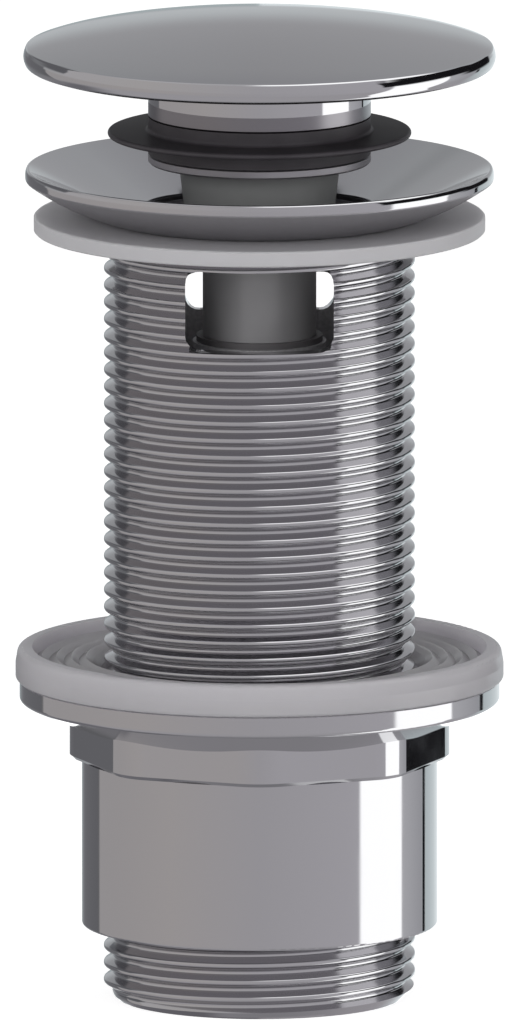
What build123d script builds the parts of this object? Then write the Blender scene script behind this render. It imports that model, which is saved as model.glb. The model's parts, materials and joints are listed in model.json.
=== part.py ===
from build123d import *
from math import asin, cos, radians, sin, tan
import os

os.makedirs("parts", exist_ok=True)

# Sprung plug basin waste, standing on its outlet end with the plug up.
# Origin: centre of the outlet end's lowest face. +Z runs up the tube. Millimetres.
# Threads are shown as plain cylinders at their major size.

# Waste body: threaded tube, dished flange and overflow slots
thread_diameter = 41.91
bore_diameter = 36.4
tube_length = 106.5
outlet_chamfer = 1.75
bore_chamfer = 0.3
flange_diameter = 63.1
flange_height = 6.75
flange_edge = 1.8
flange_edge_round = 0.3
flange_neck_diameter = 42.8
flange_sag = 0.35
seat_diameter = 41.0
seat_depth = 5.85
bore_lip_radius = 2.0
slot_width = 20.0
slot_height = 11.1
slot_drop = 4.5
slot_corner = 2.0

# Spider inside the tube that carries the cartridge
boss_diameter = 18.0
boss_height = 13.5
boss_drop = 1.4
web_count = 4
web_thickness = 3.0
web_height = 8.0
web_drop = 2.2
web_root = 0.6

# Washers that clamp the basin
flange_washer_diameter = 60.8
flange_washer_bore = 42.4
flange_washer_thickness = 2.1
washer_edge = 0.2
base_washer_diameter = 65.7
base_washer_bore = 42.7
base_washer_thickness = 4.3
base_washer_side = 2.2
base_washer_draft = 0.35
base_washer_round = 0.8
base_washer_low_round = 0.5
rim_land = 1.1
ridge_count = 4
ridge_foot = 0.3
ridge_height = 0.65
ridge_floor = 2.35
inner_land = 1.0
inner_edge_height = 1.3

# Back nut: flange, eight-sided collar and plain sleeve
nut_rise = 10.0
nut_flange_diameter = 64.6
nut_flange_thickness = 2.8
nut_flange_slope = 23.0
nut_flange_round = 0.6
nut_edge = 0.2
collar_flats = 48.4
collar_sides = 8
collar_height = 8.0
collar_corner = 7.7
collar_chamfer = 0.5
sleeve_diameter = 47.8
sleeve_height = 22.6
sleeve_round = 0.35
nut_bore_chamfer = 0.6

# Plug: cap, neck, seal, ring and skirt
plug_lift = 6.85
cap_diameter = 63.6
cap_dome_radius = 143.0
cap_rim_radius = 1.85
cap_rim_drop = 1.8
cap_wall = 2.0
cap_recess_margin = 3.3
cap_boss_diameter = 20.0
cap_boss_drop = 0.95
neck_diameter = 30.0
neck_height = 7.3
neck_web = 4.5
neck_edge = 0.25
seal_thickness = 5.0
seal_lip_diameter = 40.9
seal_lip_thickness = 0.8
seal_lip_rise = 2.3
seal_lip_fillet = 0.5
seal_ring_thickness = 1.3
skirt_collar_diameter = 22.0
skirt_top_diameter = 21.8
skirt_tip_diameter = 19.0
skirt_length = 11.3
skirt_bore = 16.4
spigot_diameter = 19.1
spigot_height = 2.5

# Cartridge: housing, bush, spindle, index sleeve and spring
gasket_thickness = 0.8
gasket_diameter = 17.0
housing_diameter = 15.3
housing_height = 18.1
stub_diameter = 14.0
stub_length = 17.3
housing_edge = 0.4
chamber_diameter = 11.8
chamber_depth = 19.4
spring_bore = 9.6
pin_groove_diameter = 13.5
bush_depth = 2.4
bush_flange_diameter = 14.4
bush_flange_thickness = 1.2
bush_notch = 1.6
spindle_diameter = 5.5
spindle_head_diameter = 7.5
spindle_head_height = 4.6
spindle_pilot_diameter = 4.4
spindle_pilot_length = 4.0
spindle_stud_diameter = 5.0
spindle_stud_length = 11.3
pin_diameter = 1.5
pin_length = 13.0
pin_drop = 2.3
pin_edge = 0.15
index_angle = 60.0
sleeve_wall = 1.85
thrust_washer_thickness = 0.5
lock_nut_flats = 8.0
lock_nut_thickness = 2.7
spring_washer_thickness = 0.5
spring_diameter = 6.8
wire_diameter = 0.8
spring_turns = 7
spring_plug_thickness = 3.3
spring_plug_pilot = 2.7
spring_plug_socket = 4.0
spring_plug_socket_depth = 2.0
o_ring_section = 1.2

# Clearances
thread_clearance = 0.05
nut_clearance = 0.08
running_clearance = 0.08
slot_clearance = 0.2
end_clearance = 0.1
stop_clearance = 0.2
seat_clearance = 0.3
groove_clearance = 0.05

# Levels, all measured up from the outlet end
flange_top = tube_length + flange_height
seat_level = flange_top - seat_depth
slot_level = tube_length - slot_drop - slot_height / 2
boss_top = tube_length - slot_drop - slot_height - boss_drop
neck_bottom = flange_top + plug_lift
neck_top = neck_bottom + neck_height
seal_bottom = neck_bottom - seal_thickness
seal_lip_level = seal_bottom + seal_lip_rise
ring_bottom = seal_bottom - seal_ring_thickness
plug_travel = seal_lip_level - seat_level - seat_clearance
housing_shoulder = boss_top + gasket_thickness
housing_top = housing_shoulder + housing_height
stub_bottom = housing_shoulder - stub_length
bush_bottom = housing_top - bush_depth
ledge = housing_top - chamber_depth
head_top = bush_bottom - stop_clearance
head_bottom = head_top - spindle_head_height
pin_level = head_top - pin_drop
pin_low_level = pin_level - plug_travel
web_bottom = neck_top - neck_web
thread_radius = thread_diameter / 2
bore_radius = bore_diameter / 2
flange_radius = flange_diameter / 2

# Waste body: the dish is a cone from the rim's top edge through the seat to the bore
seat_radius = seat_diameter / 2
dish_slope = seat_depth / (flange_radius - seat_radius)
cone_bottom = seat_level - (seat_radius - bore_radius) * dish_slope
underside_middle = (
    (flange_neck_diameter / 2 + flange_radius) / 2 + flange_sag,
    (tube_length + flange_top - flange_edge) / 2 - flange_sag,
)

with BuildPart() as waste_body:
    with BuildSketch(Plane.XZ):
        with BuildLine():
            outside = Polyline(
                (bore_radius, bore_chamfer),
                (bore_radius + bore_chamfer, 0),
                (thread_radius - outlet_chamfer, 0),
                (thread_radius, outlet_chamfer),
                (thread_radius, tube_length),
                (flange_neck_diameter / 2, tube_length),
            )
            underside = ThreePointArc(
                outside @ 1, underside_middle, (flange_radius, flange_top - flange_edge)
            )
            Polyline(
                underside @ 1,
                (flange_radius, flange_top),
                (bore_radius, cone_bottom),
                outside @ 0,
            )
        make_face()
        fillet(vertices().group_by(Axis.X)[-1], radius=flange_edge_round)
    revolve(axis=Axis.Z)
    bore_lip = edges().filter_by(GeomType.CIRCLE).filter_by(
        lambda edge: abs(edge.radius - bore_radius) < 1e-4 and abs(edge.center().Z - cone_bottom) < 1e-4
    )
    fillet(bore_lip, radius=bore_lip_radius)
    with BuildSketch(Plane.XZ):
        with Locations((0, slot_level)):
            RectangleRounded(slot_width, slot_height, slot_corner)
    extrude(amount=thread_diameter, both=True, mode=Mode.SUBTRACT)
    with BuildSketch(Plane.XY.offset(boss_top - boss_height)):
        Circle(boss_diameter / 2)
    extrude(amount=boss_height)
    with BuildSketch(Plane.XY.offset(boss_top - web_drop - web_height)):
        with PolarLocations((bore_radius + web_root) / 2, web_count):
            Rectangle(bore_radius + web_root, web_thickness)
    extrude(amount=web_height)
    with Locations((0, 0, boss_top)):
        Hole(stub_diameter / 2 + thread_clearance)

waste_body.part.label = "waste_body"
export_step(waste_body.part, "parts/waste_body.step")

# Flat washer between the flange and the basin
with BuildPart() as flange_washer:
    with BuildSketch(Plane.XY.offset(tube_length - flange_washer_thickness)):
        Circle(flange_washer_diameter / 2)
        Circle(flange_washer_bore / 2, mode=Mode.SUBTRACT)
    extrude(amount=flange_washer_thickness)
    chamfer(edges().filter_by(GeomType.CIRCLE), length=washer_edge)

flange_washer.part.label = "flange_washer"
export_step(flange_washer.part, "parts/flange_washer.step")

# Back nut: its sleeve starts above the outlet end, so the tube's last turns stand out.
# The flange is a straight edge over a cone that runs down into the collar.
collar_bottom = nut_rise + sleeve_height
nut_flange_bottom = collar_bottom + collar_height
nut_top = nut_flange_bottom + nut_flange_thickness
nut_bore_radius = thread_radius + nut_clearance
nut_flange_radius = nut_flange_diameter / 2
cone_drop = (nut_flange_radius - nut_bore_radius) * tan(radians(nut_flange_slope))

with BuildPart() as back_nut:
    with BuildSketch(Plane.XY.offset(collar_bottom)):
        RegularPolygon(collar_flats / 2, collar_sides, major_radius=False)
        fillet(vertices(), radius=collar_corner)
    extrude(amount=collar_height)
    chamfer(faces().sort_by(Axis.Z)[0].edges(), length=collar_chamfer)
    with BuildSketch(Plane.XY.offset(nut_rise)):
        Circle(sleeve_diameter / 2)
    extrude(amount=sleeve_height)
    fillet(faces().sort_by(Axis.Z)[0].edges(), radius=sleeve_round)
    with BuildSketch(Plane.XZ):
        with BuildLine():
            Polyline(
                (0, nut_flange_bottom - cone_drop),
                (nut_bore_radius, nut_flange_bottom - cone_drop),
                (nut_flange_radius, nut_flange_bottom),
                (nut_flange_radius, nut_top),
                (0, nut_top),
                close=True,
            )
        make_face()
    revolve(axis=Axis.Z)
    flange_edges = edges().filter_by(GeomType.CIRCLE).filter_by(
        lambda edge: abs(edge.radius - nut_flange_radius) < 1e-4
    )
    fillet(flange_edges.sort_by(Axis.Z)[0], radius=nut_flange_round)
    chamfer(flange_edges.sort_by(Axis.Z)[-1], length=nut_edge)
    with Locations((0, 0, nut_top)):
        Hole(nut_bore_radius)
    bore_ends = edges().filter_by(GeomType.CIRCLE).filter_by(
        lambda edge: abs(edge.radius - nut_bore_radius) < 1e-4
    )
    chamfer(bore_ends, length=nut_bore_chamfer)

back_nut.part.label = "back_nut"
export_step(back_nut.part, "parts/back_nut.step")

# Ridged washer on the back nut: a rim, sharp rings and a thin inner edge
base_washer_radius = base_washer_diameter / 2
base_washer_top = nut_top + base_washer_thickness
base_washer_shoulder = base_washer_radius - base_washer_draft
rim_inner = base_washer_shoulder - base_washer_round - rim_land
first_valley = rim_inner - ridge_foot
last_valley = base_washer_bore / 2 + inner_land
ridge_pitch = (first_valley - last_valley) / ridge_count
ridge_profile = []
for ridge in range(ridge_count):
    valley = first_valley - ridge * ridge_pitch
    ridge_profile.append((valley, nut_top + ridge_floor))
    ridge_profile.append((valley - ridge_pitch / 2, nut_top + ridge_floor + ridge_height))

with BuildPart() as base_washer:
    with BuildSketch(Plane.XZ):
        with BuildLine():
            Polyline(
                (base_washer_bore / 2, nut_top),
                (base_washer_radius, nut_top),
                (base_washer_radius, nut_top + base_washer_side),
                (base_washer_shoulder, base_washer_top),
                (rim_inner, base_washer_top),
                *ridge_profile,
                (last_valley, nut_top + ridge_floor),
                (base_washer_bore / 2, nut_top + inner_edge_height),
                close=True,
            )
        make_face()
        fillet(vertices().group_by(Axis.Y)[-1].sort_by(Axis.X)[-1], radius=base_washer_round)
        fillet(vertices().group_by(Axis.Y)[0].sort_by(Axis.X)[-1], radius=base_washer_low_round)
    revolve(axis=Axis.Z)

base_washer.part.label = "base_washer"
export_step(base_washer.part, "parts/base_washer.step")

# Plug cap: domed disc with a full round rim, hollow underneath around a threaded boss
cap_radius = cap_diameter / 2
rim_level = neck_top + cap_boss_drop
rim_centre_radius = cap_radius - cap_rim_radius

# The dome leaves the rim at a tangent, so both centres and the joint lie on one line
centre_distance = cap_dome_radius - cap_rim_radius
dome_lean = asin(rim_centre_radius / centre_distance)
dome_centre = rim_level - centre_distance * cos(dome_lean)
cap_top = dome_centre + cap_dome_radius
dome_edge = (
    cap_dome_radius * sin(dome_lean),
    dome_centre + cap_dome_radius * cos(dome_lean),
)
dome_middle = (
    cap_dome_radius * sin(dome_lean / 2),
    dome_centre + cap_dome_radius * cos(dome_lean / 2),
)
rim_foot = (
    rim_centre_radius + (cap_rim_radius**2 - cap_rim_drop**2) ** 0.5,
    rim_level - cap_rim_drop,
)
recess_radius = cap_radius - cap_recess_margin
boss_radius = cap_boss_diameter / 2
stud_hole = spindle_stud_diameter / 2 + thread_clearance
stud_top = web_bottom - lock_nut_thickness + spindle_stud_length
inner_dome_radius = cap_dome_radius - cap_wall


def under_dome(radius):
    """Height of the hollow's roof at a distance from the axis."""
    return dome_centre + (inner_dome_radius**2 - radius**2) ** 0.5


with BuildPart() as plug_cap:
    with BuildSketch(Plane.XZ):
        with BuildLine():
            dome = ThreePointArc((0, cap_top), dome_middle, dome_edge)
            cap_rim = ThreePointArc(dome @ 1, (cap_radius, rim_level), rim_foot)
            recess = Polyline(
                cap_rim @ 1,
                (rim_centre_radius, rim_foot[1]),
                (recess_radius, under_dome(recess_radius)),
            )
            roof = ThreePointArc(
                recess @ 1,
                ((recess_radius + boss_radius) / 2, under_dome((recess_radius + boss_radius) / 2)),
                (boss_radius, under_dome(boss_radius)),
            )
            Polyline(
                roof @ 1,
                (boss_radius, neck_top),
                (stud_hole, neck_top),
                (stud_hole, stud_top + end_clearance),
                (0, stud_top + end_clearance),
                dome @ 0,
            )
        make_face()
    revolve(axis=Axis.Z)

plug_cap.part.label = "plug_cap"
export_step(plug_cap.part, "parts/plug_cap.step")

# Plug neck: turned collar with a socket for the skirt and a groove for the cap's O-ring
o_ring_groove = o_ring_section + 2 * groove_clearance
o_ring_centre = (boss_radius + stud_hole) / 2

with BuildPart() as plug_neck:
    with BuildSketch(Plane.XY.offset(neck_bottom)):
        Circle(neck_diameter / 2)
    extrude(amount=neck_height)
    chamfer(edges().filter_by(GeomType.CIRCLE), length=neck_edge)
    with BuildSketch(Plane.XY.offset(neck_bottom)):
        Circle(spigot_diameter / 2 + thread_clearance)
    extrude(amount=neck_height - neck_web, mode=Mode.SUBTRACT)
    with BuildSketch(Plane.XY.offset(neck_top)):
        Circle(o_ring_centre + o_ring_groove / 2)
        Circle(o_ring_centre - o_ring_groove / 2, mode=Mode.SUBTRACT)
    extrude(amount=-o_ring_groove, mode=Mode.SUBTRACT)
    with Locations((0, 0, neck_top)):
        Hole(stud_hole)

plug_neck.part.label = "plug_neck"
export_step(plug_neck.part, "parts/plug_neck.step")

# O-ring between cap and neck
with BuildPart() as cap_o_ring:
    with BuildSketch(Plane.XZ):
        with Locations((o_ring_centre, neck_top - o_ring_groove / 2)):
            Circle(o_ring_section / 2)
    revolve(axis=Axis.Z)

cap_o_ring.part.label = "cap_o_ring"
export_step(cap_o_ring.part, "parts/cap_o_ring.step")

# Plug seal: rubber ring with one thin flared lip that lands on the dish
seal_bore = skirt_collar_diameter / 2 + thread_clearance
neck_radius = neck_diameter / 2
lip_radius = seal_lip_diameter / 2
lip_half = seal_lip_thickness / 2

with BuildPart() as plug_seal:
    with BuildSketch(Plane.XZ):
        with BuildLine():
            lower = Polyline(
                (seal_bore, seal_bottom),
                (neck_radius, seal_bottom),
                (neck_radius, seal_lip_level),
                (lip_radius - lip_half, seal_lip_level),
            )
            lip = ThreePointArc(
                lower @ 1,
                (lip_radius, seal_lip_level + lip_half),
                (lip_radius - lip_half, seal_lip_level + seal_lip_thickness),
            )
            Polyline(
                lip @ 1,
                (neck_radius, seal_lip_level + seal_lip_thickness),
                (neck_radius, neck_bottom),
                (seal_bore, neck_bottom),
                lower @ 0,
            )
        make_face()
        lip_roots = vertices().filter_by(lambda corner: abs(corner.X - neck_radius) < 1e-4)
        fillet(lip_roots.sort_by(Axis.Y)[1:3], radius=seal_lip_fillet)
    revolve(axis=Axis.Z)

plug_seal.part.label = "plug_seal"
export_step(plug_seal.part, "parts/plug_seal.step")

# Ring that screws onto the skirt's collar and holds the seal up
with BuildPart() as seal_ring:
    with BuildSketch(Plane.XY.offset(ring_bottom)):
        Circle(neck_diameter / 2)
        Circle(seal_bore, mode=Mode.SUBTRACT)
    extrude(amount=seal_ring_thickness)
    chamfer(edges().filter_by(GeomType.CIRCLE), length=neck_edge)

seal_ring.part.label = "seal_ring"
export_step(seal_ring.part, "parts/seal_ring.step")

# Plug skirt: tapered shroud below the ring, collar through the seal, spigot into the neck
with BuildPart() as plug_skirt:
    with BuildSketch(Plane.XZ):
        with BuildLine():
            Polyline(
                (skirt_bore / 2, ring_bottom - skirt_length),
                (skirt_tip_diameter / 2, ring_bottom - skirt_length),
                (skirt_top_diameter / 2, ring_bottom),
                (skirt_collar_diameter / 2, ring_bottom),
                (skirt_collar_diameter / 2, neck_bottom),
                (spigot_diameter / 2, neck_bottom),
                (spigot_diameter / 2, neck_bottom + spigot_height),
                (skirt_bore / 2, neck_bottom + spigot_height),
                close=True,
            )
        make_face()
    revolve(axis=Axis.Z)

plug_skirt.part.label = "plug_skirt"
export_step(plug_skirt.part, "parts/plug_skirt.step")

# Cartridge housing: barrel above the boss, threaded stub through it.
# Two straight grooves open at the top guide the cross pin's ends.
chamber_radius = chamber_diameter / 2
groove_width = pin_diameter + 2 * slot_clearance
groove_bottom = pin_low_level - groove_width / 2

with BuildPart() as cartridge_housing:
    with BuildSketch(Plane.XZ):
        with BuildLine():
            Polyline(
                (spring_bore / 2, stub_bottom),
                (stub_diameter / 2 - housing_edge, stub_bottom),
                (stub_diameter / 2, stub_bottom + housing_edge),
                (stub_diameter / 2, housing_shoulder),
                (housing_diameter / 2, housing_shoulder),
                (housing_diameter / 2, housing_top - housing_edge),
                (housing_diameter / 2 - housing_edge, housing_top),
                (chamber_radius, housing_top),
                (chamber_radius, ledge),
                (spring_bore / 2, ledge),
                close=True,
            )
        make_face()
    revolve(axis=Axis.Z)
    with BuildSketch(Plane.XY.offset(groove_bottom)):
        Rectangle(pin_groove_diameter, groove_width)
    extrude(amount=housing_top - groove_bottom, mode=Mode.SUBTRACT)

cartridge_housing.part.label = "cartridge_housing"
export_step(cartridge_housing.part, "parts/cartridge_housing.step")

# Flat gasket between the housing's shoulder and the boss
with BuildPart() as housing_gasket:
    with BuildSketch(Plane.XY.offset(boss_top)):
        Circle(gasket_diameter / 2)
        Circle(stub_diameter / 2 + thread_clearance, mode=Mode.SUBTRACT)
    extrude(amount=gasket_thickness)

housing_gasket.part.label = "housing_gasket"
export_step(housing_gasket.part, "parts/housing_gasket.step")

# Top bush: screws into the housing, with a gland for the O-ring and two spanner notches
spindle_radius = spindle_diameter / 2
bush_seal_centre = spindle_radius + groove_clearance + o_ring_section / 2
bush_seal_level = bush_bottom + bush_depth / 2

with BuildPart() as top_bush:
    with BuildSketch(Plane.XY.offset(bush_bottom)):
        Circle(chamber_radius - thread_clearance)
    extrude(amount=bush_depth)
    with BuildSketch(Plane.XY.offset(housing_top)):
        Circle(bush_flange_diameter / 2)
        with PolarLocations(bush_flange_diameter / 2, 2, start_angle=90):
            Rectangle(2 * bush_notch, bush_notch, mode=Mode.SUBTRACT)
    extrude(amount=bush_flange_thickness)
    with Locations((0, 0, housing_top + bush_flange_thickness)):
        Hole(spindle_radius + running_clearance)
    with BuildSketch(Plane.XY.offset(bush_seal_level - o_ring_groove / 2)):
        Circle(bush_seal_centre + o_ring_groove / 2)
    extrude(amount=o_ring_groove, mode=Mode.SUBTRACT)

top_bush.part.label = "top_bush"
export_step(top_bush.part, "parts/top_bush.step")

# O-ring that wipes the spindle
with BuildPart() as bush_seal:
    with BuildSketch(Plane.XZ):
        with Locations((bush_seal_centre, bush_seal_level)):
            Circle(o_ring_section / 2)
    revolve(axis=Axis.Z)

bush_seal.part.label = "bush_seal"
export_step(bush_seal.part, "parts/bush_seal.step")

# Spindle: spring pilot, head with the cross hole, rod and threaded stud
with BuildPart() as spindle:
    with BuildSketch(Plane.XY.offset(head_bottom - spindle_pilot_length)):
        Circle(spindle_pilot_diameter / 2)
    extrude(amount=spindle_pilot_length)
    with BuildSketch(Plane.XY.offset(head_bottom)):
        Circle(spindle_head_diameter / 2)
    extrude(amount=spindle_head_height)
    with BuildSketch(Plane.XY.offset(head_top)):
        Circle(spindle_radius)
    extrude(amount=stud_top - spindle_stud_length - head_top)
    with BuildSketch(Plane.XY.offset(stud_top - spindle_stud_length)):
        Circle(spindle_stud_diameter / 2)
    extrude(amount=spindle_stud_length)
    chamfer(faces().sort_by(Axis.Z)[-1].edges(), length=housing_edge)
    chamfer(faces().sort_by(Axis.Z)[0].edges(), length=housing_edge)
    with BuildSketch(Plane.YZ):
        with Locations((0, pin_level)):
            Circle(pin_diameter / 2 + groove_clearance)
    extrude(amount=spindle_head_diameter, both=True, mode=Mode.SUBTRACT)

spindle.part.label = "spindle"
export_step(spindle.part, "parts/spindle.step")

# Cross pin: through the head and the index slots, its ends in the housing's grooves
with BuildPart() as cross_pin:
    with BuildSketch(Plane.YZ):
        with Locations((0, pin_level)):
            Circle(pin_diameter / 2)
    extrude(amount=pin_length / 2, both=True)
    chamfer(edges().filter_by(GeomType.CIRCLE), length=pin_edge)

cross_pin.part.label = "cross_pin"
export_step(cross_pin.part, "parts/cross_pin.step")

# Lock nut under the neck's web
with BuildPart() as spindle_lock_nut:
    with BuildSketch(Plane.XY.offset(web_bottom - lock_nut_thickness)):
        RegularPolygon(lock_nut_flats / 2, 6, major_radius=False)
        Circle(stud_hole, mode=Mode.SUBTRACT)
    extrude(amount=lock_nut_thickness)

spindle_lock_nut.part.label = "spindle_lock_nut"
export_step(spindle_lock_nut.part, "parts/spindle_lock_nut.step")

# Thrust washer on the ledge inside the housing
sleeve_outer = chamber_radius - slot_clearance
sleeve_inner = sleeve_outer - sleeve_wall

with BuildPart() as thrust_washer:
    with BuildSketch(Plane.XY.offset(ledge)):
        Circle(sleeve_outer)
        Circle(sleeve_inner, mode=Mode.SUBTRACT)
    extrude(amount=thrust_washer_thickness)

thrust_washer.part.label = "thrust_washer"
export_step(thrust_washer.part, "parts/thrust_washer.step")

# Index sleeve: the helical slots turn it by the index angle over the plug's travel.
# The cutter is one slot with round ends, swept along a helix at the wall's middle.
slot_middle = (sleeve_outer + sleeve_inner) / 2
helix_pitch = plug_travel * 360 / index_angle
index_bottom = ledge + thrust_washer_thickness + end_clearance
index_top = bush_bottom - end_clearance

with BuildPart() as index_slot:
    with BuildLine() as slot_path:
        Helix(helix_pitch, plug_travel, slot_middle, center=(0, 0, pin_low_level), lefthand=True)
    with BuildSketch(Plane(slot_path.line @ 0, x_dir=(1, 0, 0), z_dir=slot_path.line % 0)):
        Rectangle(2 * sleeve_wall, groove_width)
    sweep(path=slot_path.line, is_frenet=True)
    for turn, level in ((0, pin_low_level), (-index_angle, pin_level)):
        with BuildSketch(Plane.YZ.rotated((0, 0, turn)).offset(slot_middle - sleeve_wall)):
            with Locations((0, level)):
                Circle(groove_width / 2)
        extrude(amount=2 * sleeve_wall)

with BuildPart() as index_sleeve:
    with BuildSketch(Plane.XY.offset(index_bottom)):
        Circle(sleeve_outer)
        Circle(sleeve_inner, mode=Mode.SUBTRACT)
    extrude(amount=index_top - index_bottom)
    for turn in (0, 180):
        add(index_slot.part.rotate(Axis.Z, turn + index_angle), mode=Mode.SUBTRACT)

index_sleeve.part.label = "index_sleeve"
export_step(index_sleeve.part, "parts/index_sleeve.step")

# Plug that closes the housing under the spring, with a pilot and a hexagon socket
spring_seat = stub_bottom + spring_plug_thickness

with BuildPart() as spring_plug:
    with BuildSketch(Plane.XY.offset(stub_bottom)):
        Circle(spring_bore / 2 - thread_clearance)
    extrude(amount=spring_plug_thickness)
    with BuildSketch(Plane.XY.offset(spring_seat)):
        Circle(spindle_pilot_diameter / 2)
    extrude(amount=spring_plug_pilot)
    chamfer(faces().sort_by(Axis.Z)[-1].edges(), length=housing_edge)
    with BuildSketch(Plane.XY.offset(stub_bottom)):
        RegularPolygon(spring_plug_socket / 2, 6, major_radius=False)
    extrude(amount=spring_plug_socket_depth, mode=Mode.SUBTRACT)

spring_plug.part.label = "spring_plug"
export_step(spring_plug.part, "parts/spring_plug.step")

# Washer between the spring and the spindle's head
with BuildPart() as spring_washer:
    with BuildSketch(Plane.XY.offset(head_bottom - spring_washer_thickness)):
        Circle(spindle_head_diameter / 2)
        Circle(spindle_pilot_diameter / 2 + running_clearance, mode=Mode.SUBTRACT)
    extrude(amount=spring_washer_thickness)

spring_washer.part.label = "spring_washer"
export_step(spring_washer.part, "parts/spring_washer.step")

# Return spring, at its length with the plug up
wire_radius = wire_diameter / 2
spring_low = spring_seat + wire_radius
spring_high = head_bottom - spring_washer_thickness - wire_radius
spring_rise = spring_high - spring_low
coil_pitch = spring_rise / spring_turns
coil_radius = spring_diameter / 2 - wire_radius

with BuildPart() as return_spring:
    with BuildLine() as coil:
        Helix(coil_pitch, spring_rise, coil_radius, center=(0, 0, spring_low))
    with BuildSketch(Plane(coil.line @ 0, x_dir=(1, 0, 0), z_dir=coil.line % 0)):
        Circle(wire_radius)
    sweep(path=coil.line, is_frenet=True)

return_spring.part.label = "return_spring"
export_step(return_spring.part, "parts/return_spring.step")

print("plug travel", plug_travel)
print("index turn, degrees per millimetre", index_angle / plug_travel)
print("overall height", cap_top)
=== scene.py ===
import json
import math

import bpy
import numpy as np
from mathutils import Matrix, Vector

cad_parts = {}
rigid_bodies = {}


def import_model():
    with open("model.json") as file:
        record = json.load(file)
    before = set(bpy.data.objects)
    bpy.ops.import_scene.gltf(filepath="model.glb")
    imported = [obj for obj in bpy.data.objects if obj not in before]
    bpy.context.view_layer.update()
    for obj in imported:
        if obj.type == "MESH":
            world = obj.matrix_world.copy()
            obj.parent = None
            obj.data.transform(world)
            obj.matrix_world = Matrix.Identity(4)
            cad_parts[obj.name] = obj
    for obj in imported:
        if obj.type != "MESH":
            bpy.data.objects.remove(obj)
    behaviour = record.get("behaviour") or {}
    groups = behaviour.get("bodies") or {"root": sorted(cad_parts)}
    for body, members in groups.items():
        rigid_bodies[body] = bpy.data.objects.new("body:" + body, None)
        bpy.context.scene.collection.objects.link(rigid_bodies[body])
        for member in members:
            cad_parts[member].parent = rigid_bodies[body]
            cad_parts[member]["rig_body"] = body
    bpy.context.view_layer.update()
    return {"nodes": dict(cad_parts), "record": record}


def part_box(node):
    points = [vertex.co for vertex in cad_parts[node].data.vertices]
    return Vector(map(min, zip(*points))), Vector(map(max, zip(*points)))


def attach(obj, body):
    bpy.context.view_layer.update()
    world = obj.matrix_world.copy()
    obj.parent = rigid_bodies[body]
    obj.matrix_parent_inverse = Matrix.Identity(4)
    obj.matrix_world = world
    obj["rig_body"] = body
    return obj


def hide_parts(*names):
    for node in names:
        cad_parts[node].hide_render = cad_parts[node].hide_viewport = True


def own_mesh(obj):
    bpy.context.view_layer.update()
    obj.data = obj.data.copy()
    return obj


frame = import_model()
nodes = frame["nodes"]
slotOf = {part["node"]: part["material_slot"] for part in frame["record"]["subparts"]}
mm = 0.001
weldSteps = 20000  # to a millimetre: points that round to the same step are one point
print("frame loaded,", len(nodes), "CAD nodes")


def linear(hexColour):
    # sRGB to linear: the low part is a straight line, the rest a power of 2.4
    srgb = np.array([int(hexColour[i:i + 2], 16) for i in (1, 3, 5)]) / 255
    shades = np.where(srgb <= 0.04045, srgb / 12.92, ((srgb + 0.055) / 1.055) ** 2.4)
    return (*shades.tolist(), 1.0)


def addNode(tree, kind, sockets=None, **settings):
    # a socket takes a value, or a link from another node's output
    node = tree.nodes.new("ShaderNode" + kind)
    for name, value in settings.items():
        setattr(node, name, value)
    for key, value in (sockets or {}).items():
        if isinstance(value, bpy.types.NodeSocket):
            tree.links.new(value, node.inputs[key])
        else:
            node.inputs[key].default_value = value
    return node


def fillRamp(node, stops):
    # stops are (place, hex colour) pairs in order
    elements = node.color_ramp.elements
    while len(elements) > 1:
        elements.remove(elements[-1])
    for index, (place, hexColour) in enumerate(stops):
        element = elements[0] if index == 0 else elements.new(place)
        element.position = place
        element.color = linear(hexColour)
    return node


def roundCorners(corners, steps=5, hold=0.05):
    # corners are (radius from the axis, height, round), and a round of 0 leaves one sharp. Each round is an
    # arc tangent to both sides: its centre lies on the corner's bisector at round / sin(half the corner's
    # angle). A short straight piece of length hold on each side of it keeps the long sides' shading flat.
    points = np.array([corner[:2] for corner in corners], float)
    outline = []
    for here, (*_, size) in enumerate(corners):
        corner = points[here]
        if size == 0:
            outline.append(corner[None])
            continue
        back = points[here - 1] - corner
        on = points[(here + 1) % len(points)] - corner
        back, on = back / np.hypot(*back), on / np.hypot(*on)
        half = math.acos(np.clip(back @ on, -1, 1)) / 2
        run = size / math.tan(half)
        middle = corner + (back + on) / np.hypot(*(back + on)) * size / math.sin(half)
        start, end = corner + back * run - middle, corner + on * run - middle
        turn = math.atan2(start[0] * end[1] - start[1] * end[0], start @ end)
        angle = math.atan2(start[1], start[0]) + np.linspace(0, turn, steps)
        outline.append((corner + back * (run + hold))[None])
        outline.append(middle + size * np.column_stack((np.cos(angle), np.sin(angle))))
        outline.append((corner + on * (run + hold))[None])
    return np.concatenate(outline)


def arcThrough(start, end, sagitta, count=24):
    # arc from start to end that bulges by the sagitta s to the left of the chord c, or to its right where s
    # is negative: its radius is (c^2 / 4 + s^2) / 2s, and it turns by 2 asin(c / 2r)
    start, end = np.array(start, float), np.array(end, float)
    chord = end - start
    reach = np.hypot(*chord)
    radius = (reach ** 2 / 4 + sagitta ** 2) / (2 * sagitta)
    left = np.array((-chord[1], chord[0])) / reach
    middle = (start + end) / 2 + left * (sagitta - radius)
    first = math.atan2(*(start - middle)[::-1])
    turn = -2 * math.asin(reach / 2 / radius)
    angle = first + np.linspace(0, turn, count)
    return middle + abs(radius) * np.column_stack((np.cos(angle), np.sin(angle)))


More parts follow.
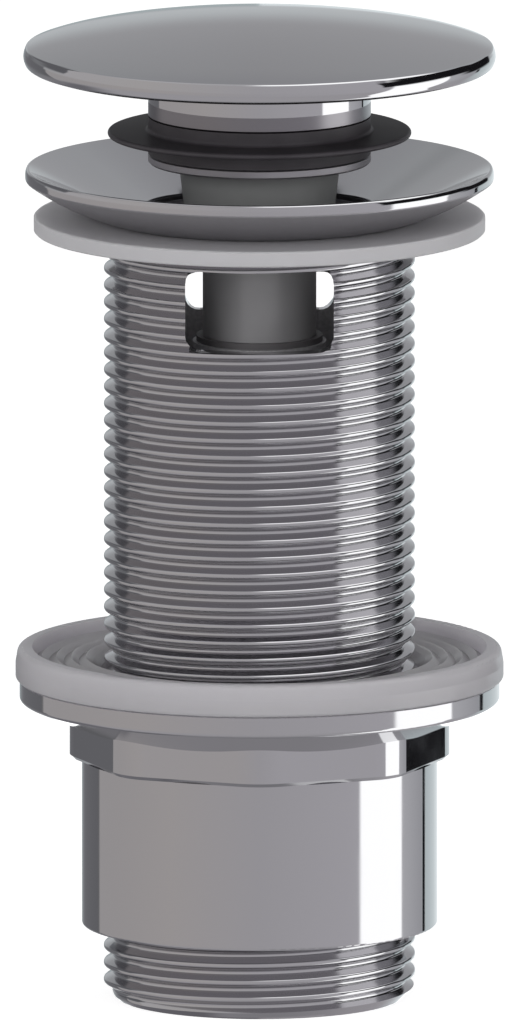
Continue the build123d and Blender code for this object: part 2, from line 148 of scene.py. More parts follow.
def buildMesh(name, points, faces, smoothAngle=35):
    # points are in millimetres. Merges those that fall together, drops the faces that collapse, and turns
    # the shell outwards: its volume, the sum of corner . (corner x corner) over the faces, has to be positive
    _, first, merged = np.unique(np.round(points * weldSteps), axis=0, return_index=True, return_inverse=True)
    points = points[first] * mm
    faces = merged.reshape(-1)[faces]
    faces = faces[(faces != np.roll(faces, -1, axis=1)).sum(axis=1) >= 3]
    a, b, c, d = (points[faces[:, side]] for side in range(4))
    if (a * (np.cross(b, c) + np.cross(c, d))).sum() < 0:
        faces = faces[:, ::-1]
    distinct = faces != np.roll(faces, -1, axis=1)
    mesh = bpy.data.meshes.new(name)
    mesh.from_pydata(points.tolist(), [], [face[keep].tolist() for face, keep in zip(faces, distinct)])
    mesh.polygons.foreach_set("use_smooth", np.ones(len(mesh.polygons), bool))
    mesh.set_sharp_from_angle(angle=math.radians(smoothAngle))
    piece = bpy.data.objects.new(name, mesh)
    bpy.context.scene.collection.objects.link(piece)
    return piece


def gridMesh(name, points, smoothAngle=35, ring=True, around=True):
    # points is a grid of (profile row, column round the axis, xyz). A ring's rows close on themselves, and
    # so do the columns round the axis. A thread's last column is already its first one, a turn on. Each face
    # joins a point to its right, upper right and upper neighbours.
    rows, columns = points.shape[:2]
    index = np.arange(rows * columns).reshape(rows, columns)
    index = np.vstack((index, index[:1])) if ring else index
    index = np.hstack((index, index[:, :1])) if around else index
    faces = np.stack((index[:-1, :-1], index[:-1, 1:], index[1:, 1:], index[1:, :-1]), axis=-1)
    return buildMesh(name, points.reshape(-1, 3), faces.reshape(-1, 4), smoothAngle)


def turned(name, profile, columns, smoothAngle=35):
    # every profile point goes once round the axis: (r cos a, r sin a, height)
    angle = np.arange(columns) * 2 * np.pi / columns
    radius, height = profile[:, :1], profile[:, 1:]
    points = np.stack((radius * np.cos(angle), radius * np.sin(angle), height + 0 * angle), axis=-1)
    return gridMesh(name, points, smoothAngle)


def stands(piece, node, finish):
    # the piece takes the place, the body and the finish of a CAD node
    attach(piece, nodes[node]["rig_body"])
    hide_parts(node)
    piece.data.materials.clear()
    piece.data.materials.append(finish)
    return piece


def boxOf(node):
    # lowest and highest corner of a CAD node in millimetres
    low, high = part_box(node)
    return np.array(low) / mm, np.array(high) / mm


def newFinish(name):
    # an empty node material and its tree
    finish = bpy.data.materials.new(name)
    finish.use_nodes = True
    finish.node_tree.nodes.clear()
    return finish, finish.node_tree


def showFinish(tree, shader, bump=None):
    # sends the shader to the surface, with the bump, if any, on its normal
    addNode(tree, "OutputMaterial", {"Surface": shader.outputs[0]})
    if bump:
        tree.links.new(bump.outputs["Normal"], shader.inputs["Normal"])


# Chromium plate over brass, buffed before plating: a clear cool mirror, with a faint haze that comes
# and goes over a few millimetres where the buff left it
def polishedChrome():
    look = {"colour": "#c2c2c4", "clear": 0.045, "hazy": 0.085, "hazeSize": 9.0}
    finish, tree = newFinish("polishedChrome")
    place = addNode(tree, "TexCoord")
    haze = addNode(tree, "TexNoise", {"Vector": place.outputs["Object"],
                                      "Scale": 1 / (look["hazeSize"] * mm), "Detail": 3.0})
    rough = addNode(tree, "MapRange", {"Value": haze.outputs["Fac"], "From Min": 0.35, "From Max": 0.65,
                                       "To Min": look["clear"], "To Max": look["hazy"]})
    metal = addNode(tree, "BsdfPrincipled", {"Base Color": linear(look["colour"]), "Metallic": 1.0,
                                             "Roughness": rough.outputs["Result"]})
    showFinish(tree, metal)
    return finish


# Thin nickel on the casting where the buff never reached: dull, with the sand's grain in the colour and in
# the surface, coarse inside the tube and nearly gone under the flange. Under the flange its dull, even grey
# is a painted reflection of the washer that the mirror would show there
def castPlate(name, colour, darker, rough, metallic, coarse):
    look = {"grainSize": 0.6, "grainDepth": 0.05}
    finish, tree = newFinish(name)
    place = addNode(tree, "TexCoord")
    grain = addNode(tree, "TexNoise", {"Vector": place.outputs["Object"],
                                       "Scale": 1 / (look["grainSize"] * mm), "Detail": 3.0})
    shade = fillRamp(addNode(tree, "ValToRGB", {"Fac": grain.outputs["Fac"]}),
                     [(0.35, darker), (0.65, colour)])
    bump = addNode(tree, "Bump", {"Height": grain.outputs["Fac"], "Strength": coarse,
                                  "Distance": look["grainDepth"] * mm})
    metal = addNode(tree, "BsdfPrincipled", {"Base Color": shade.outputs["Color"], "Metallic": metallic,
                                             "Roughness": rough})
    showFinish(tree, metal, bump)
    return finish


# Chromium plate with painted shade by facing: bright where the face is upright, and darker and duller where
# it leans, standing in for the shade that falls there. lean is the height of the face's normal where that
# starts and where it is full, 1 for a face that looks up and -1 for one that looks down, and bothWays counts
# the two alike.
def shadedByFacingChrome(name, dull, rough, lean, bothWays):
    look = {"polished": "#c2c2c4", "clear": 0.05}
    finish, tree = newFinish(name)
    place = addNode(tree, "TexCoord")
    axes = addNode(tree, "SeparateXYZ", {0: place.outputs["Normal"]})
    height = axes.outputs["Z"]
    if bothWays:
        height = addNode(tree, "Math", {0: height}, operation="ABSOLUTE").outputs[0]
    share = addNode(tree, "MapRange", {"Value": height, "From Min": lean[0], "From Max": lean[1]})
    colour = addNode(tree, "MixRGB", {"Fac": share.outputs[0], "Color1": linear(look["polished"]),
                                      "Color2": linear(dull)})
    shine = addNode(tree, "MapRange", {"Value": share.outputs[0], "To Min": look["clear"], "To Max": rough})
    metal = addNode(tree, "BsdfPrincipled", {"Base Color": colour.outputs["Color"], "Metallic": 1.0,
                                             "Roughness": shine.outputs["Result"]})
    showFinish(tree, metal)
    return finish


# Chromium plate on the plug's neck: polished above a set level, and darker and rougher below it
def bandedChrome():
    look = {"polished": "#c2c2c4", "satin": "#8f8d91", "clear": 0.05, "dull": 0.3, "level": 122.2}
    finish, tree = newFinish("polishedAndSatinChrome")
    place = addNode(tree, "TexCoord")
    axes = addNode(tree, "SeparateXYZ", {0: place.outputs["Object"]})
    above = addNode(tree, "Math", {0: axes.outputs["Z"], 1: look["level"] * mm}, operation="GREATER_THAN")
    colour = addNode(tree, "MixRGB", {"Fac": above.outputs[0], "Color1": linear(look["satin"]),
                                      "Color2": linear(look["polished"])})
    rough = addNode(tree, "MapRange", {"Value": above.outputs[0], "To Min": look["dull"],
                                       "To Max": look["clear"]})
    metal = addNode(tree, "BsdfPrincipled", {"Base Color": colour.outputs["Color"], "Metallic": 1.0,
                                             "Roughness": rough.outputs["Result"]})
    showFinish(tree, metal)
    return finish


# Moulded nitrile rubber: near black and dull, a little greyer in patches, with a fine even grain. The real
# grain is near 0.05 mm and is drawn coarser, so that it shows.
def blackRubber():
    look = {"colour": "#343135", "worn": "#3e3b3f", "patchSize": 6.0, "grainSize": 0.25, "grainDepth": 0.03,
            "rough": 0.52}
    finish, tree = newFinish("blackRubber")
    place = addNode(tree, "TexCoord")
    patch = addNode(tree, "TexNoise", {"Vector": place.outputs["Object"],
                                       "Scale": 1 / (look["patchSize"] * mm), "Detail": 4.0})
    colour = fillRamp(addNode(tree, "ValToRGB", {"Fac": patch.outputs["Fac"]}),
                      [(0.35, look["colour"]), (0.7, look["worn"])])
    grain = addNode(tree, "TexNoise", {"Vector": place.outputs["Object"],
                                       "Scale": 1 / (look["grainSize"] * mm)})
    bump = addNode(tree, "Bump", {"Height": grain.outputs["Fac"], "Strength": 0.25,
                                  "Distance": look["grainDepth"] * mm})
    rubber = addNode(tree, "BsdfPrincipled", {"Base Color": colour.outputs["Color"],
                                              "Roughness": look["rough"], "IOR": 1.52})
    showFinish(tree, rubber, bump)
    return finish


# Moulded acetal and pressed fibre: an even satin skin, a little lighter in patches, over the mould's fine
# spark-eroded grain. The real grain is near 0.05 mm and is drawn coarser, so that it shows.
def mouldedPlastic(name, colour, lighter, rough):
    look = {"patchSize": 8.0, "grainSize": 0.3, "grainDepth": 0.02}
    finish, tree = newFinish(name)
    place = addNode(tree, "TexCoord")
    patch = addNode(tree, "TexNoise", {"Vector": place.outputs["Object"],
                                       "Scale": 1 / (look["patchSize"] * mm), "Detail": 3.0})
    shade = fillRamp(addNode(tree, "ValToRGB", {"Fac": patch.outputs["Fac"]}),
                     [(0.3, colour), (0.75, lighter)])
    grain = addNode(tree, "TexNoise", {"Vector": place.outputs["Object"],
                                       "Scale": 1 / (look["grainSize"] * mm)})
    bump = addNode(tree, "Bump", {"Height": grain.outputs["Fac"], "Strength": 0.2,
                                  "Distance": look["grainDepth"] * mm})
    plastic = addNode(tree, "BsdfPrincipled", {"Base Color": shade.outputs["Color"], "Roughness": rough,
                                               "IOR": 1.5})
    showFinish(tree, plastic, bump)
    return finish


# Turned brass, drawn steel and plated turnings: fine rings round the axis from the tool or the die. The
# real ones are near 0.1 mm apart and are drawn coarser, so that they show.
def turnedMetal(name, colour, rough, ringSize):
    look = {"ringDepth": 0.02, "waver": 0.6}
    waveRadians = 20  # Blender's wave goes round this far in one unit, so a ring is 2 pi ring sizes wide
    finish, tree = newFinish(name)
    place = addNode(tree, "TexCoord")
    rings = addNode(tree, "TexWave", {"Vector": place.outputs["Object"],
                                      "Scale": 1 / (ringSize * mm) / waveRadians,
                                      "Distortion": look["waver"]}, bands_direction="Z")
    bump = addNode(tree, "Bump", {"Height": rings.outputs["Fac"], "Strength": 0.15,
                                  "Distance": look["ringDepth"] * mm})
    metal = addNode(tree, "BsdfPrincipled", {"Base Color": linear(colour), "Metallic": 1.0,
                                             "Roughness": rough})
    showFinish(tree, metal, bump)
    return finish


# Moulded polythene washers: cloudy, so the light goes a little way in and softens every edge, and a clear
# one passes part of it right through. depth is how far it goes in, in millimetres, and clear the share
# that passes.
def cloudyPlastic(name, colour, rough, depth, clear):
    look = {"cloudSize": 5.0, "spread": 0.06}
    finish, tree = newFinish(name)
    place = addNode(tree, "TexCoord")
    cloud = addNode(tree, "TexNoise", {"Vector": place.outputs["Object"],
                                       "Scale": 1 / (look["cloudSize"] * mm), "Detail": 3.0})
    shine = addNode(tree, "MapRange", {"Value": cloud.outputs["Fac"], "To Min": rough - look["spread"],
                                       "To Max": rough + look["spread"]})
    plastic = addNode(tree, "BsdfPrincipled", {
        "Base Color": linear(colour), "IOR": 1.51, "Roughness": shine.outputs["Result"],
        "Subsurface Weight": 1.0, "Subsurface Radius": (1, 1, 1), "Subsurface Scale": depth * mm})
    passed = addNode(tree, "BsdfTranslucent", {"Color": linear(colour)})
    both = addNode(tree, "MixShader", {0: clear, 1: plastic.outputs[0], 2: passed.outputs[0]})
    showFinish(tree, both)
    return finish


chrome = polishedChrome()
rubber = blackRubber()
skirtPlastic = mouldedPlastic("mouldedAcetalDark", "#6d6e6e", "#767777", 0.36)
cartridgePlastic = mouldedPlastic("mouldedAcetalGrey", "#8b8a8c", "#939294", 0.3)
sleevePlastic = mouldedPlastic("mouldedAcetalWhite", "#dcdcd6", "#e4e4de", 0.4)
gasketFibre = mouldedPlastic("vulcanisedFibre", "#5c5a5c", "#646264", 0.6)
brass = turnedMetal("turnedBrass", "#d9b56a", 0.25, 0.3)
steel = turnedMetal("drawnSteel", "#b9babd", 0.22, 0.3)
satinChrome = turnedMetal("satinChrome", "#b0aeb2", 0.45, 0.25)
thinPlate = castPlate("thinPlatedCasting", "#b8b7ba", "#a3a2a5", 0.5, 0.3, 0.4)
# painted reflection: the flange's underside a dull even grey in place of the mirrored washer
paintedReflectionUnderside = castPlate("platedUndersidePaintedReflection", "#929094", "#8e8c90", 0.38, 0.5, 0.05)
# painted shade: the thread's flanks and the outlet's chamfer darker and duller than the crests
threadShadedChrome = shadedByFacingChrome("threadPaintedShadeChrome", "#b4b3b6", 0.12, (0.4, 0.7), True)
# painted shade: the cap's downward faces under its rim dark grey
capShadedChrome = shadedByFacingChrome("capPaintedShadeChrome", "#59585b", 0.4, (-0.75, -0.9), False)
neckChrome = bandedChrome()
washerPlastic = cloudyPlastic("mouldedPolythenePale", "#cbcacd", 0.45, 3.0, 0.22)
clearWasher = cloudyPlastic("mouldedPolytheneClear", "#dad8dc", 0.13, 4.0, 0.45)
print("finishes made")

# Waste body: one threaded casting with the flange, the spider and two overflow slots
waste = {
    "threadRadius": 20.955, "pitch": 2.309, "threadDepth": 1.32, "threadFlat": 0.52, "threadRound": 0.28,
    "threadStart": 1.22, "columns": 144,
    "boreRadius": 18.2, "boreEdge": 0.3, "outletRadius": 19.205, "outletChamfer": 1.75,
    "neckRadius": 21.4, "tubeTop": 106.5, "flangeHeight": 6.75, "flangeEdge": 1.8, "edgeRound": 0.4,
    "shoulder": (0.27, 0.8), "shoulderRound": 1.5, "lipRound": 0.3,
    "flangeSag": 0.47, "seatRadius": 20.5, "seatDepth": 5.85, "boreLip": 2.0,
    "slotWidth": 20.0, "slotHeight": 11.1, "slotLevel": 96.45, "slotCorner": 2.0, "slotReach": 30,
    "bossRadius": 9.0, "bossHole": 7.05, "bossLow": 76.0, "bossTop": 89.5, "bossColumns": 96,
    "webCount": 4, "webThickness": 3.0, "webLow": 79.3, "webTop": 87.3, "webRoot": 8.0, "webReach": 18.8,
    "insideRadius": 18.3, "insideTop": 105.0, "undersideLean": -0.2,
}


def threadProfile(w):
    # one pitch of the thread: a flat crest and a flat root with rounded corners, joined by straight flanks.
    # The first and last corner only give the flanks their direction. Each of the four between them keeps the
    # three points of its arc, as height above the crest's middle, and radius.
    half, root = w["threadFlat"] / 2, w["threadRadius"] - w["threadDepth"]
    middle = w["pitch"] / 2
    crest, turn = w["threadRadius"], w["threadRound"]
    corners = [(half - middle, root, 0), (-half, crest, turn), (half, crest, turn),
               (middle - half, root, turn), (middle + half, root, turn), (w["pitch"] - half, crest, 0)]
    return roundCorners(corners, steps=3, hold=0)[1:-1].reshape(4, 5, 2)[:, 1:4].reshape(12, 2)


def threadRows(w):
    # every row climbs one pitch a turn, so the grid runs with the thread. Rows past an end fold into it, and
    # near the outlet the radius is no more than the chamfer's cone.
    profile = threadProfile(w)
    turns = np.arange(-2, math.ceil(w["tubeTop"] / w["pitch"]) + 1)
    height = (turns[:, None] * w["pitch"] + profile[:, 0]).reshape(-1, 1) + w["threadStart"]
    radius = np.tile(profile[:, 1], len(turns))[:, None]
    share = np.arange(w["columns"] + 1) / w["columns"]
    height = height + w["pitch"] * share
    chamfer = w["outletRadius"] + np.clip(height / w["outletChamfer"], 0, 1) * (
        w["threadRadius"] - w["outletRadius"])
    radius = np.minimum(radius, chamfer)
    radius = np.where(height < 0, w["outletRadius"], radius)
    radius = np.where(height > w["tubeTop"], w["threadRadius"], radius)
    return radius, np.clip(height, 0, w["tubeTop"]), 2 * np.pi * share


def flangeRows(w, rim):
    # from the tube's top over the underside, the rim with its sloped shoulder and the dish, down the bore.
    # The dish is a cone from the rim's top edge through the seat.
    top = w["tubeTop"] + w["flangeHeight"]
    slope = w["seatDepth"] / (rim - w["seatRadius"])
    boreLevel = top - w["seatDepth"] - (w["seatRadius"] - w["boreRadius"]) * slope
    underside = arcThrough((w["neckRadius"], w["tubeTop"]), (rim, top - w["flangeEdge"]), -w["flangeSag"])
    back, drop = w["shoulder"]
    inside = roundCorners([
        (*underside[-2], 0), (rim, top - w["flangeEdge"], w["edgeRound"]),
        (rim, top - drop, w["shoulderRound"]), (rim - back, top - back * slope, w["lipRound"]),
        (w["boreRadius"], boreLevel, w["boreLip"]), (w["boreRadius"], w["boreEdge"], 0),
        (w["boreRadius"] + w["boreEdge"], 0, 0)], steps=7)
    return np.concatenate((underside[:-2], inside))


def prism(name, outline, low, high, across="z"):
    # an outline carried straight from low to high along z or y, each end filled as a fan round its middle
    count = len(outline)
    levels = np.repeat([low, low, high, high], count)
    flat = np.tile(outline, (4, 1))
    flat[:count] = flat[3 * count:] = outline.mean(axis=0)
    points = np.insert(flat, 2 if across == "z" else 1, levels, axis=1)
    return gridMesh(name, points.reshape(4, count, 3), ring=False)


def combine(piece, cutter, operation, smoothAngle=50):
    # exact boolean, applied at once
    change = piece.modifiers.new("change", "BOOLEAN")
    change.operation, change.object, change.solver = operation, cutter, "EXACT"
    seen = piece.evaluated_get(bpy.context.evaluated_depsgraph_get())
    whole = bpy.data.meshes.new_from_object(seen)
    whole.set_sharp_from_angle(angle=math.radians(smoothAngle))
    piece.modifiers.clear()
    piece.data = whole
    bpy.data.objects.remove(cutter)


def roundedBox(width, height, corner, steps=6):
    # a quarter circle at each corner of a centred rectangle
    angle = np.linspace(0, np.pi / 2, steps)
    quarter = corner * np.column_stack((np.cos(angle), np.sin(angle)))
    inner = np.array((width / 2 - corner, height / 2 - corner))
    turns = [np.array(((c, -s), (s, c))) for c, s in ((1, 0), (0, 1), (-1, 0), (0, -1))]
    signs = ((1, 1), (-1, 1), (-1, -1), (1, -1))
    return np.concatenate([quarter @ turn.T + inner * sign for turn, sign in zip(turns, signs)])


def makeSpider(w):
    # a drilled boss with straight webs that run out into the tube's wall
    section = np.array([(w["bossHole"], w["bossLow"]), (w["bossRadius"], w["bossLow"]),
                        (w["bossRadius"], w["bossTop"]), (w["bossHole"], w["bossTop"])])
    boss = turned("wasteSpider", section, w["bossColumns"])
    half = w["webThickness"] / 2
    flat = np.array([(w["webRoot"], -half), (w["webReach"], -half),
                     (w["webReach"], half), (w["webRoot"], half)])
    for turn in np.arange(w["webCount"]) * 2 * np.pi / w["webCount"]:
        spin = np.array(((np.cos(turn), np.sin(turn)), (-np.sin(turn), np.cos(turn))))
        combine(boss, prism("web", flat @ spin, w["webLow"], w["webTop"]), "UNION")
    return boss


def makeWaste(w):
    # the thread's rows and the flange's rows make one shell, less the slots and with the spider joined in
    rim = boxOf("waste_body")[1][0]
    radius, height, angle = threadRows(w)
    below = flangeRows(w, rim)
    radius = np.vstack((radius, np.repeat(below[:, :1], len(angle), axis=1)))
    height = np.vstack((height, np.repeat(below[:, 1:], len(angle), axis=1)))
    points = np.stack((radius * np.cos(angle), radius * np.sin(angle), height), axis=-1)
    body = gridMesh("wasteBodyThreaded", points, smoothAngle=50, around=False)
    slot = roundedBox(w["slotWidth"], w["slotHeight"], w["slotCorner"]) + (0, w["slotLevel"])
    combine(body, prism("slotCutter", slot, -w["slotReach"], w["slotReach"], across="y"), "DIFFERENCE")
    combine(body, makeSpider(w), "UNION")
    return body


def plateRegions(piece, w, insideFinish, threadFinish, undersideFinish):
    # by the middle of each face: 1 is the bore and the spider, 2 the thread and 3 the flange's underside
    for finish in (insideFinish, threadFinish, undersideFinish):
        piece.data.materials.append(finish)
    middle, normal = np.empty((2, 3 * len(piece.data.polygons)))
    piece.data.polygons.foreach_get("center", middle)
    piece.data.polygons.foreach_get("normal", normal)
    x, y, z = middle.reshape(-1, 3).T / mm
    inside = (np.hypot(x, y) < w["insideRadius"]) & (z < w["insideTop"])
    region = np.select([inside, z < w["tubeTop"], normal[2::3] < w["undersideLean"]], [1, 2, 3], 0)
    piece.data.polygons.foreach_set("material_index", region)


wasteBody = stands(makeWaste(waste), "waste_body", chrome)
# the flange's underside gets a painted reflection, and the thread's flanks painted shade
plateRegions(wasteBody, waste, thinPlate, threadShadedChrome, paintedReflectionUnderside)
print("waste body made,", len(wasteBody.data.polygons), "faces")

# Plug cap: a shallow dome that bends down at its edge, a slightly bulged rim and a dished underside
cap = {
    "top": 133.414, "domeRadius": 143.0, "edgeDrop": 0.4, "edgePower": 14,
    "domeRings": (2, 26, 12), "edgeRings": (27, 31, 14),  # radius from and to, and how many
    # down round the rim, each a corner's radius, height and round
    "edge": (31.45, 129.53, 0.45), "shoulder": (31.74, 128.78, 2.1), "bulge": (31.84, 128.0, 1.7),
    "foot": (31.45, 127.0, 0.6), "lip": (30.0, 126.55, 0.5), "recess": (28.5, 128.5, 0),
    "roofRadius": 141.0, "roofRings": 10, "bossRadius": 10.0, "bossLow": 127.4, "hole": 2.55,
    "holeTop": 131.6, "columns": 240,
}


def capRows(c):
    # the dome is a sphere less a drop that grows with a high power of the radius, and the underside's roof a
    # smaller sphere round the same centre
    centre = c["top"] - c["domeRadius"]
    radius = np.concatenate(([0], np.linspace(*c["domeRings"]), np.linspace(*c["edgeRings"])))
    height = (centre + np.sqrt(c["domeRadius"] ** 2 - radius ** 2)
              - c["edgeDrop"] * (radius / c["edge"][0]) ** c["edgePower"])
    roof = np.linspace(c["recess"][0], c["bossRadius"], c["roofRings"])
    corners = [c[name] for name in ("edge", "shoulder", "bulge", "foot", "lip", "recess")]
    rim = roundCorners([(radius[-1], height[-1], 0), *corners], steps=9, hold=0.02)
    inside = [(c["bossRadius"], c["bossLow"]), (c["hole"], c["bossLow"]), (c["hole"], c["holeTop"]),
              (0, c["holeTop"])]
    dome = np.column_stack((radius, height))
    roof = np.column_stack((roof, centre + np.sqrt(c["roofRadius"] ** 2 - roof ** 2)))
    return np.concatenate((dome[:-1], rim[:-1], roof, inside))


plugCap = turned("plugCapPolished", capRows(cap), cap["columns"], smoothAngle=50)
stands(plugCap, "plug_cap", capShadedChrome)
print("plug cap made,", len(plugCap.data.polygons), "faces")

# Return spring: a wound wire, drawn from the foot to the top of the CAD spring
coil = {"diameter": 6.8, "wire": 0.8, "turns": 7, "perTurn": 40, "roundWire": 12}


def makeSpring(c):
    # the wire's centre climbs evenly round the axis. Each ring of points lies square to it, spanned by the
    # outward direction and by the wire's own direction crossed with that one.
    low, high = (corner[2] for corner in boxOf("return_spring"))
    low, high = low + c["wire"] / 2, high - c["wire"] / 2
    turn = np.linspace(0, 2 * np.pi * c["turns"], c["turns"] * c["perTurn"] + 1)[:, None]
    outward = np.hstack((np.cos(turn), np.sin(turn), 0 * turn))
    reach = (c["diameter"] - c["wire"]) / 2
    centre = outward * reach + (0, 0, low)
    centre[:, 2:] += (high - low) * turn / turn[-1]
    along = np.gradient(centre, axis=0)
    across = np.cross(along / np.linalg.norm(along, axis=1, keepdims=True), outward)
    angle = np.arange(c["roundWire"])[:, None] * 2 * np.pi / c["roundWire"]
    spoke = outward[:, None] * np.cos(angle) + across[:, None] * np.sin(angle)
    rings = centre[:, None] + c["wire"] / 2 * spoke
    ends = [np.repeat(centre[end][None, None], c["roundWire"], axis=1) for end in (0, -1)]
    return gridMesh("returnSpringCoil", np.concatenate((ends[0], rings, ends[1])), ring=False)


returnSpring = stands(makeSpring(coil), "return_spring", steel)
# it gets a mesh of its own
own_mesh(returnSpring)
print("return spring made,", len(returnSpring.data.polygons), "faces")

# The other CAD nodes keep their shape and take the finish of their slot, or one of their own
finishes = {
    "polished_chrome": chrome, "black_rubber": rubber, "pale_rubber": washerPlastic,
    "clear_washer": clearWasher, "dark_plastic": skirtPlastic, "cartridge_plastic": cartridgePlastic,
    "turned_brass": brass, "bright_steel": steel, "acetal": sleevePlastic, "fibre": gasketFibre,
}
ownFinish = {"plug_neck": neckChrome, "seal_ring": satinChrome}
for name, slot in slotOf.items():
    nodes[name].data.materials.clear()
    nodes[name].data.materials.append(ownFinish.get(name, finishes[slot]))
print("finishes on the CAD nodes")

# Studio: camera, floor, lamps and what the chrome sees
camera = {
    "distance": 2.0, "elevation": 9.5, "aim": (0.000067, 0, 0.066), "pixelsPerMm": 7.43,
    "pictureHeight": 1024, "clip": (0.05, 50),
}


def makeCamera(c):
    # the photograph has no perspective: the view's height is the picture's in pixels over those in 1 mm
    data = bpy.data.cameras.new("camera")
    data.type = "ORTHO"
    data.ortho_scale = c["pictureHeight"] / c["pixelsPerMm"] * mm
    data.clip_start, data.clip_end = c["clip"]
    eye = bpy.data.objects.new("camera", data)
    tilt = math.radians(c["elevation"])
    x, y, z = c["aim"]
    eye.location = (x, y - c["distance"] * math.cos(tilt), z + c["distance"] * math.sin(tilt))
    eye.rotation_euler = (math.pi / 2 - tilt, 0, 0)
    bpy.context.scene.collection.objects.link(eye)
    bpy.context.scene.camera = eye


makeCamera(camera)

floorLook = {"size": 6.0, "colour": "#e6e6e6", "lift": 0.68}


def makeFloor(f):
    # white paper that the camera sees a little lighter than the light makes it, with the shadow kept, and
    # that the chrome doesn't see
    half = f["size"] / 2
    mesh = bpy.data.meshes.new("floor")
    corners = [(-half, -half, 0), (half, -half, 0), (half, half, 0), (-half, half, 0)]
    mesh.from_pydata(corners, [], [(0, 1, 2, 3)])
    plane = bpy.data.objects.new("floor", mesh)
    bpy.context.scene.collection.objects.link(plane)
    finish, tree = newFinish("floorPaper")
    paper = addNode(tree, "BsdfDiffuse", {"Color": linear(f["colour"])})
    path = addNode(tree, "LightPath")
    lift = addNode(tree, "Math", {0: path.outputs["Is Camera Ray"], 1: f["lift"]}, operation="MULTIPLY")
    glow = addNode(tree, "Emission", {"Strength": lift.outputs[0]})
    both = addNode(tree, "AddShader", {0: paper.outputs[0], 1: glow.outputs[0]})
    showFinish(tree, both)
    mesh.materials.append(finish)
    plane.visible_glossy = False


makeFloor(floorLook)

studio = {
    "seen": 1.85,  # strength at which the mirror shows the colours as they are written
    # light on surfaces that aren't mirrors, level and from overhead, and the ray's heights between them
    "sideLight": 0.95, "topLight": 0.3, "lightFrom": 0.1, "lightTo": 0.8,
    # elevations in degrees over which one part of the surroundings passes into the next
    "skyBlend": (-3, 1), "overheadBlend": (35, 55), "belowBlend": (-18, -35),
    # round the horizon below eye level, in degrees from straight ahead of the object, right is positive
    "horizon": [
        (-180, "#7f8789"), (-160, "#68696c"), (-135, "#59595b"), (-129.5, "#58585a"), (-128.5, "#8e8b8b"),
        (-60, "#959190"), (0, "#929093"), (60, "#98969a"), (107.5, "#a0a0a3"), (131, "#8b8b8f"),
        (139, "#a2aaac"), (172, "#b6bcbe"), (180, "#a8aeb0"),
    ],
    # round the sky above eye level
    "sky": [
        (-180, "#828284"), (-140, "#8a8d8e"), (-110, "#9a9899"), (-60, "#9a9796"), (0, "#949295"),
        (60, "#98969a"), (110, "#a0a0a3"), (140, "#929496"), (180, "#828284"),
    ],
    # overhead, by how far the ray leans from front (0) to back (1)
    "overhead": [(0.0, "#959396"), (0.35, "#9c9b9d"), (0.5, "#a8a8aa"), (0.6, "#8c8c8e"), (0.75, "#808083"),
                 (0.9, "#7f7f82"), (1.0, "#828486")],
    # below the horizon, from level (0) to straight down (1)
    "below": [(0.3, "#8f8d90"), (0.8, "#918f92"), (1.0, "#7d7c7f")],
    # panels, each over the ones before it: azimuths and elevations from and to, in degrees, and how far
    # each of those four edges is soft to either side
    "panels": [
        # the lit floor behind the object, low on both sides
        {"colour": "#f4f4f4", "turn": (173, 181), "rise": (-32, -12.5), "soft": (2, 1, 3, 1),
         "bothSides": True},
        # the softbox on the right, and the white sheet over it
        {"colour": "#ffffff", "turn": (69, 106.5), "rise": (-65, 44), "soft": (1.5, 1, 8, 5)},
        {"colour": "#ffffff", "turn": (-2, 125), "rise": (42, 78), "soft": (12, 10, 6, 4)},
        # black flags that cut the softbox off above eye level, and one narrow one behind it on the right
        {"colour": "#121214", "turn": (63, 130), "rise": (1, 26), "soft": (1, 3, 2, 2)},
        {"colour": "#121214", "turn": (120, 152), "rise": (-5, 12), "soft": (6, 1.5, 2, 3)},
        {"colour": "#121214", "turn": (133.2, 137.2), "rise": (-13, -6), "soft": (0.5, 0.5, 2, 2)},
        # the unlit part of the room, behind on the left and below
        {"colour": "#555558", "turn": (-156, -111.5), "rise": (6, 34), "soft": (6, 1, 4, 5)},
        {"colour": "#5a5a5d", "turn": (-163, -131), "rise": (-12, 6), "soft": (8, 1, 3, 6)},
        {"colour": "#626165", "turn": (-181, -100), "rise": (-70, -27), "soft": (1, 14, 5, 6)},
        # the lit backdrop straight behind, at eye level
        {"colour": "#939698", "turn": (160, 181), "rise": (-1, 9), "soft": (8, 1, 2, 5), "bothSides": True},
    ],
}


def addPanel(tree, before, turn, rise, panel):
    # a soft-edged patch: one smooth step up and one down along each of the two angles, all multiplied
    patch = None
    limits = panel["turn"] + panel["rise"]
    for angle, limit, edge, way in zip((turn, turn, rise, rise), limits, panel["soft"], (1, -1, 1, -1)):
        step = addNode(tree, "MapRange", {"Value": angle, "From Min": limit - way * edge,
                                          "From Max": limit + way * edge}, interpolation_type="SMOOTHSTEP")
        patch = step if patch is None else addNode(
            tree, "Math", {0: patch.outputs[0], 1: step.outputs[0]}, operation="MULTIPLY")
    return addNode(tree, "MixRGB", {"Fac": patch.outputs[0], "Color1": before.outputs[0],
                                    "Color2": linear(panel["colour"])})


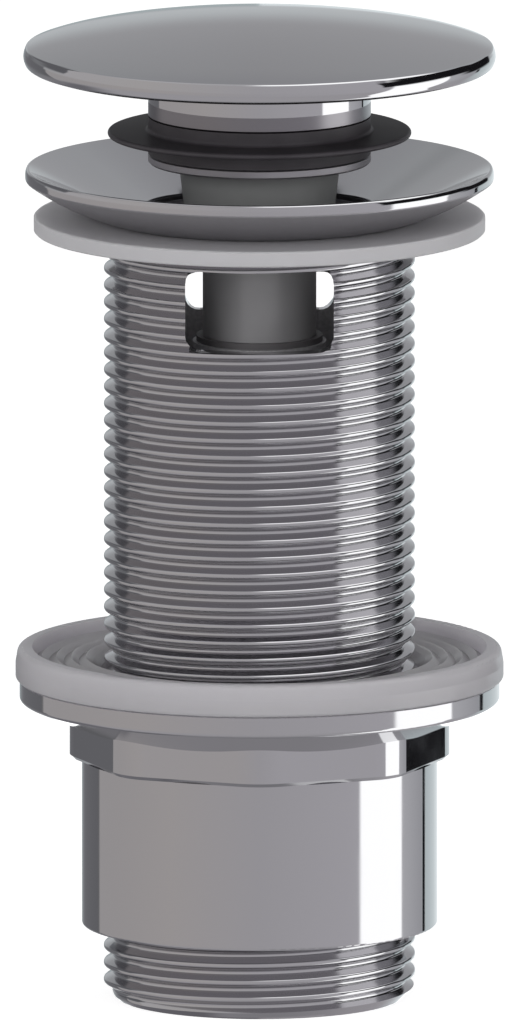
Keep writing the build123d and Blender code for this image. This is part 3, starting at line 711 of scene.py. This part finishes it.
def makeWorld(s):
    # only mirrors see the ramps and panels. Their angles come from the ray: azimuth atan2(x, -y), so 0 is
    # straight in front, and elevation asin(z). The camera sees white, and other surfaces get plain light.
    world = bpy.data.worlds.new("studio")
    world.use_nodes = True
    tree = world.node_tree
    tree.nodes.clear()
    ray = addNode(tree, "TexCoord")
    axes = addNode(tree, "SeparateXYZ", {0: ray.outputs["Generated"]})
    forward = addNode(tree, "Math", {0: axes.outputs["Y"], 1: -1.0}, operation="MULTIPLY")
    around = addNode(tree, "Math", {0: axes.outputs["X"], 1: forward.outputs[0]}, operation="ARCTAN2")
    turn = addNode(tree, "Math", {0: around.outputs[0]}, operation="DEGREES")
    eitherSide = addNode(tree, "Math", {0: turn.outputs[0]}, operation="ABSOLUTE")
    height = addNode(tree, "Math", {0: axes.outputs["Z"]}, operation="ARCSINE")
    rise = addNode(tree, "Math", {0: height.outputs[0]}, operation="DEGREES")
    share = addNode(tree, "MapRange", {"Value": turn.outputs[0], "From Min": -180, "From Max": 180})
    horizon, sky = (fillRamp(addNode(tree, "ValToRGB", {"Fac": share.outputs[0]}),
                             [((degrees + 180) / 360, colour) for degrees, colour in s[part]])
                    for part in ("horizon", "sky"))
    lean = addNode(tree, "Math", {0: axes.outputs["Y"], 1: 0.5, 2: 0.5}, operation="MULTIPLY_ADD")
    overhead = fillRamp(addNode(tree, "ValToRGB", {"Fac": lean.outputs[0]}), s["overhead"])
    depth = addNode(tree, "Math", {0: axes.outputs["Z"], 1: -1.0}, operation="MULTIPLY")
    below = fillRamp(addNode(tree, "ValToRGB", {"Fac": depth.outputs[0]}), s["below"])
    whole = horizon
    for part, blend in ((sky, "skyBlend"), (overhead, "overheadBlend"), (below, "belowBlend")):
        amount = addNode(tree, "MapRange", {"Value": rise.outputs[0], "From Min": s[blend][0],
                                            "From Max": s[blend][1]})
        whole = addNode(tree, "MixRGB", {"Fac": amount.outputs[0], "Color1": whole.outputs[0],
                                         "Color2": part.outputs[0]})
    for panel in s["panels"]:
        side = eitherSide if panel.get("bothSides") else turn
        whole = addPanel(tree, whole, side.outputs[0], rise.outputs[0], panel)
    path = addNode(tree, "LightPath")
    mirrored = addNode(tree, "Background", {"Color": whole.outputs[0], "Strength": s["seen"]})
    upward = addNode(tree, "MapRange", {"Value": axes.outputs["Z"], "From Min": s["lightFrom"],
                                        "From Max": s["lightTo"], "To Min": s["sideLight"],
                                        "To Max": s["topLight"]})
    plain = addNode(tree, "Background", {"Color": (1, 1, 1, 1), "Strength": upward.outputs["Result"]})
    white = addNode(tree, "Background", {"Color": (1, 1, 1, 1), "Strength": 1.0})
    diffuse = addNode(tree, "MixShader", {0: path.outputs["Is Camera Ray"], 1: plain.outputs[0],
                                          2: white.outputs[0]})
    glossy = addNode(tree, "MixShader", {0: path.outputs["Is Glossy Ray"], 1: diffuse.outputs[0],
                                         2: mirrored.outputs[0]})
    clear = addNode(tree, "MixShader", {0: path.outputs["Is Transmission Ray"], 1: glossy.outputs[0],
                                        2: white.outputs[0]})
    addNode(tree, "OutputWorld", {"Surface": clear.outputs[0]})
    bpy.context.scene.world = world


makeWorld(studio)

lamps = [
    {"name": "keyLamp", "place": (-0.6, -1.2, 0.5), "size": 0.6, "power": 6.0, "aimHeight": 0.06},
    {"name": "fillLamp", "place": (0.9, -0.9, 0.4), "size": 0.6, "power": 4.0, "aimHeight": 0.06},
]


def makeLamp(look):
    # a square area lamp turned towards a point on the axis, out of the chrome's sight
    data = bpy.data.lights.new(look["name"], "AREA")
    data.size, data.energy = look["size"], look["power"]
    lamp = bpy.data.objects.new(look["name"], data)
    lamp.location = x, y, z = look["place"]
    lamp.rotation_euler = (math.atan2(math.hypot(x, y), z - look["aimHeight"]), 0, math.atan2(x, -y))
    lamp.visible_glossy = False
    bpy.context.scene.collection.objects.link(lamp)


for look in lamps:
    makeLamp(look)

bpy.context.scene.view_settings.view_transform = "Standard"
print("studio ready")
